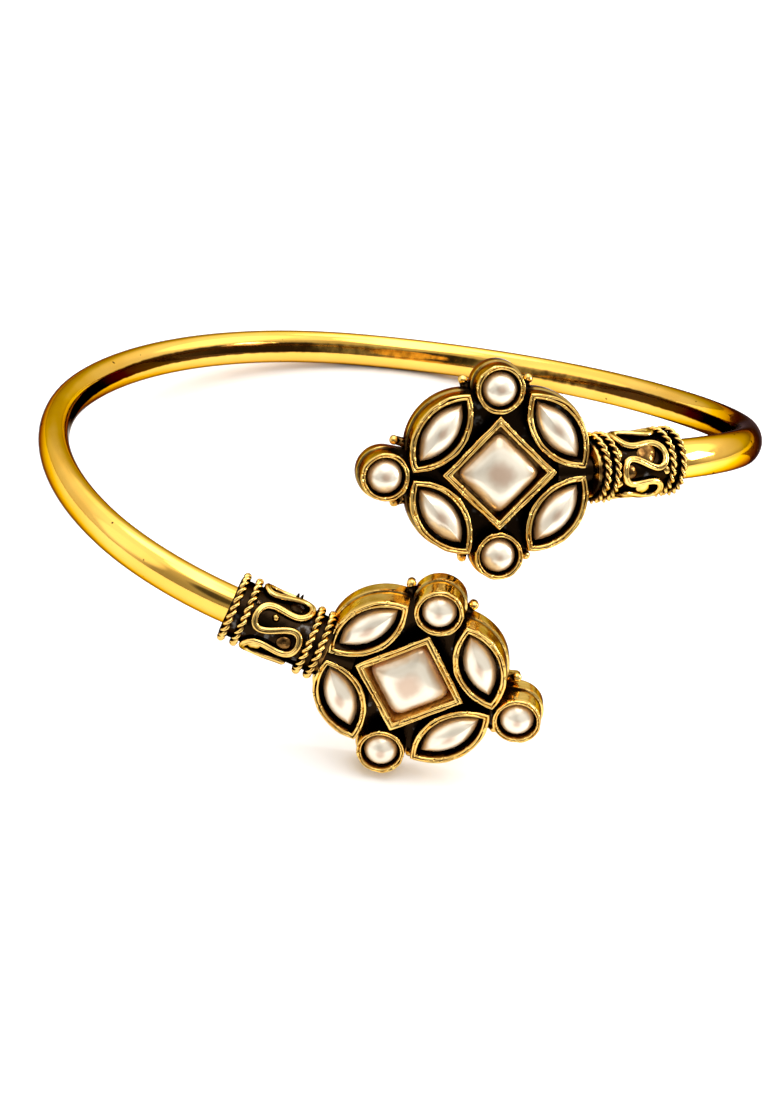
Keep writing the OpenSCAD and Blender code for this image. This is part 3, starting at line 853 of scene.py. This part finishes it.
# Pearl coat: cream on the crown, browner towards the girdle, partly its own tone and partly
# painted shade, with a soft grey-tan painted reflection spot at the top and a clear gloss over all
def pearlCoat():
    material, shader = newMaterial("pearl")
    cloud = addNoise(material, pearlLook["cloudScale"], 2)
    sootAndShade = addRaggedSootAndShade(material, cloud, 0.3, 0.7, pearlLook["raggedBy"])
    # Painted reflection spot on the crown, then painted shade browner towards the girdle
    reflectionSpot = addRange(material, sootAndShade, *pearlLook["reflectionSpotBetween"], 1, 0)
    body = addMix(material, reflectionSpot, pearlLook["cream"], pearlLook["reflectionSpot"])
    tan = addMix(material, addRange(material, sootAndShade, *pearlLook["tanBetween"]), body, pearlLook["tan"])
    edge = addRange(material, sootAndShade, *pearlLook["edgeBetween"])
    join(material, addMix(material, edge, tan, pearlLook["edge"]), shader.inputs["Base Color"])
    shader.inputs["Metallic"].default_value = pearlLook["nacre"]
    shader.inputs["Roughness"].default_value = pearlLook["roughness"]
    shader.inputs["Coat Weight"].default_value = pearlLook["gloss"]
    shader.inputs["Coat Roughness"].default_value = pearlLook["glossRoughness"]
    shader.inputs["Specular IOR Level"].default_value = pearlLook["shine"]
    addBump(material, shader, cloud, pearlLook["cloudStrength"], pearlLook["cloudHeight"])
    return material


rodGold, workedGold, pearlFinish = polishedGold(), antiqueGold(), pearlCoat()
makeRod(rodGold)
for side, arm, seed in (("left", leftArm, 100), ("right", rightArm, 300)):
    start = collar[side + "Start"]
    makeDrum(side, arm, workedGold)
    makeRopes(side, arm, workedGold)
    makeScroll(side, start, arm, workedGold)
    makeMelts(side, start, arm, workedGold)
    place = flowerPlace(arm, flower[side + "Turns"])
    makeNeck(side, place, workedGold)
    makePlate(side, place, workedGold)
    makeBezels(side, place, workedGold, seed)
    makeGranules(side, place, workedGold, seed)
    makePearls(side, place, pearlFinish)
print("bangle made")


# The studio's light by direction. It grows from the horizon upwards, and the room is dimmer
# in front, where the camera stands; the pairs are bounds on the direction's own parts. A
# shadow or a soft box has a middle, a half width and a softness in degrees, and then the
# share that it takes away or the level that it has. The studio's sizes are in metres.
studio = {
    "sheetRadius": 0.2, "sheetFade": 0.06, "sheetColour": (0.9, 0.9, 0.9), "sheetRoughness": 0.9,
    "seenSky": 1.0, "lowLevel": 0.3, "horizonLevel": 0.9, "highLevel": 1.4,
    "horizonBetween": (-0.25, 0.05), "highBetween": (0.15, 0.75),
    "roomWidth": (0.2, 0.5), "roomTop": (0.80, 0.88), "roomDark": 0.55,
    "shadows": (((-0.33, -0.82, 0.44), 14, 5, 0.85), ((0.0, 0.98, 0.2), 18, 9, 0.2)),
    "softBoxes": (((0.0, -0.17, 0.98), 21, 4, 3.8), ((0.03, 0.42, 0.90), 20, 5, 3.8),
                  ((0.0, 0.67, 0.74), 24, 8, 1.6), ((0.72, 0.10, 0.69), 22, 7, 2.0),
                  ((-0.88, -0.05, 0.47), 26, 9, 1.55)),
    "cardTowards": (0.90, -0.22, 0.37), "cardDistance": 0.08, "cardSize": 0.03, "cardPower": 0.05,
    "flagMiddle": (0.062, 0.045), "flagSize": (0.07, 0.08), "flagRise": 0.0003,
    "flagColour": (0.15, 0.065, 0.055),
}


# A piece of the studio, which isn't part of the bangle
def stagePiece(name, points, faces, material):
    mesh = bpy.data.meshes.new(name)
    mesh.from_pydata(points, [], faces)
    mesh.materials.append(material)
    piece = bpy.data.objects.new(name, mesh)
    bpy.context.scene.collection.objects.link(piece)
    return piece


# Floor: a round pale sheet, rings by distance, that fades away towards its rim
def makeFloor():
    angle = np.linspace(0, 2 * np.pi, 96, endpoint=False)
    radii = np.linspace(0.002, studio["sheetRadius"], 12)
    x, y = radii[:, None] * np.cos(angle), radii[:, None] * np.sin(angle)
    points = np.stack([x, y, 0 * x], -1).reshape(-1, 3)
    faces = [face[::-1] for face in gridFaces(len(radii), len(angle), False)[:-1]]
    material, shader = newMaterial("pale_floor")
    shader.inputs["Base Color"].default_value = studio["sheetColour"] + (1.0,)
    shader.inputs["Roughness"].default_value = studio["sheetRoughness"]
    fromMiddle = addNode(material, "VectorMath", operation="LENGTH")
    join(material, addNode(material, "TexCoord").outputs["Object"], fromMiddle.inputs[0])
    rim = studio["sheetRadius"]
    join(material, addRange(material, fromMiddle.outputs["Value"], rim - studio["sheetFade"], rim, 1, 0),
         shader.inputs["Alpha"])
    stagePiece("floor", points.tolist(), faces, material)


# Sky: the light by direction as above; the camera itself sees a plain pale sky
def makeSky():
    world = bpy.data.worlds.new("studio")
    bpy.context.scene.world = world
    world.use_nodes = True
    direction = addNode(world, "TexCoord").outputs["Generated"]

    def towards(middle):
        dot = addNode(world, "VectorMath", operation="DOT_PRODUCT")
        join(world, direction, dot.inputs[0])
        dot.inputs[1].default_value = unit(np.array(middle, float))
        return dot.outputs["Value"]

    def lobe(middle, half, softness, amount):
        edges = np.cos(np.radians([half + softness, half - softness]))
        return addRange(world, towards(middle), *edges, 0, amount)

    height = towards((0, 0, 1))
    horizon, high = studio["horizonLevel"], studio["highLevel"]
    lower = addRange(world, height, *studio["horizonBetween"], studio["lowLevel"], horizon)
    light = addMath(world, "ADD", lower, addRange(world, height, *studio["highBetween"], 0, high - horizon))
    room = addMath(world, "MULTIPLY", addRange(world, towards((0, -1, 0)), *studio["roomWidth"]),
                   addRange(world, height, *studio["roomTop"], studio["roomDark"], 0))
    light = addMath(world, "MULTIPLY", light, addMath(world, "SUBTRACT", 1.0, room))
    for shadow in studio["shadows"]:
        light = addMath(world, "MULTIPLY", light, addMath(world, "SUBTRACT", 1.0, lobe(*shadow)))
    for box in studio["softBoxes"]:
        light = addMath(world, "MAXIMUM", light, lobe(*box))
    seen = addNode(world, "LightPath").outputs["Is Camera Ray"]
    strength = addNode(world, "Mix", data_type="FLOAT")
    join(world, seen, strength.inputs["Factor"])
    join(world, light, strength.inputs[2])
    strength.inputs[3].default_value = studio["seenSky"]
    background = world.node_tree.nodes["Background"]
    background.inputs["Color"].default_value = (1, 1, 1, 1)
    join(world, strength.outputs[0], background.inputs["Strength"])


# A small bright card beside the right arm, turned towards it, that the camera doesn't see
def makeCard():
    data = bpy.data.lights.new("side_card", "AREA")
    data.shape = "SQUARE"
    data.size = studio["cardSize"]
    data.energy = studio["cardPower"]
    card = bpy.data.objects.new("side_card", data)
    bpy.context.scene.collection.objects.link(card)
    away = unit(np.array(studio["cardTowards"]))
    side = unit(np.cross([0, 0, 1.0], away))
    axes = np.eye(4)
    axes[:3, 0], axes[:3, 1], axes[:3, 2] = side, np.cross(away, side), away
    axes[:3, 3] = rightArm[:3, 3] * mm + away * studio["cardDistance"]
    card.matrix_world = Matrix(axes.tolist())
    card.visible_camera = False


# A dark flag flat on the floor behind the right arm, which only mirrors see
def makeFlag():
    x, y = studio["flagMiddle"]
    wide, deep = studio["flagSize"]
    corners = [(x + a * wide / 2, y + b * deep / 2, studio["flagRise"])
               for a, b in ((-1, -1), (1, -1), (1, 1), (-1, 1))]
    material, shader = newMaterial("dark_cloth")
    shader.inputs["Base Color"].default_value = studio["flagColour"] + (1.0,)
    shader.inputs["Roughness"].default_value = 1.0
    flag = stagePiece("flag", corners, [(0, 1, 2, 3)], material)
    flag.visible_camera = flag.visible_diffuse = flag.visible_shadow = False


# The camera stood close to the bangle: turned to the side, pitched over it and rolled.
# Sizes are in the bangle's own frame, from the middle of the rod at the back.
photoCamera = {
    "yaw": -13.833, "pitch": 18.894, "roll": 8.085, "aside": -1.352, "above": -10.614,
    "distance": 160.791, "target": (0, -30, 0), "focalPixels": 1861.809,
    "pictureHeight": 1108, "sensor": 36,
}


def makeCamera():
    yaw, pitch, roll = (np.radians(photoCamera[key]) for key in ("yaw", "pitch", "roll"))
    back = np.array([np.sin(yaw) * np.cos(pitch), -np.cos(yaw) * np.cos(pitch), np.sin(pitch)])
    level = unit(np.cross(-back, [0, 0, 1.0]))
    upright = np.cross(level, -back)
    right = level * np.cos(roll) + upright * np.sin(roll)
    up = -level * np.sin(roll) + upright * np.cos(roll)
    eye = np.array(photoCamera["target"]) + back * photoCamera["distance"] \
        + level * photoCamera["aside"] + upright * photoCamera["above"]
    axes = np.eye(4)
    axes[:3, 0], axes[:3, 1], axes[:3, 2], axes[:3, 3] = right, up, back, eye
    axes = rest @ axes
    axes[:3, 3] *= mm
    data = bpy.data.cameras.new("photo_camera")
    data.sensor_width = photoCamera["sensor"]
    data.lens = photoCamera["focalPixels"] * photoCamera["sensor"] / photoCamera["pictureHeight"]
    data.clip_start = 0.01
    camera = bpy.data.objects.new("photo_camera", data)
    bpy.context.scene.collection.objects.link(camera)
    camera.matrix_world = Matrix(axes.tolist())
    bpy.context.scene.camera = camera
    print("camera looks down", round(float(np.degrees(np.arcsin(axes[2, 2]))), 1), "degrees")


makeFloor()
makeSky()
makeCard()
makeFlag()
makeCamera()
bpy.context.scene.view_settings.view_transform = "Standard"
print("studio set")
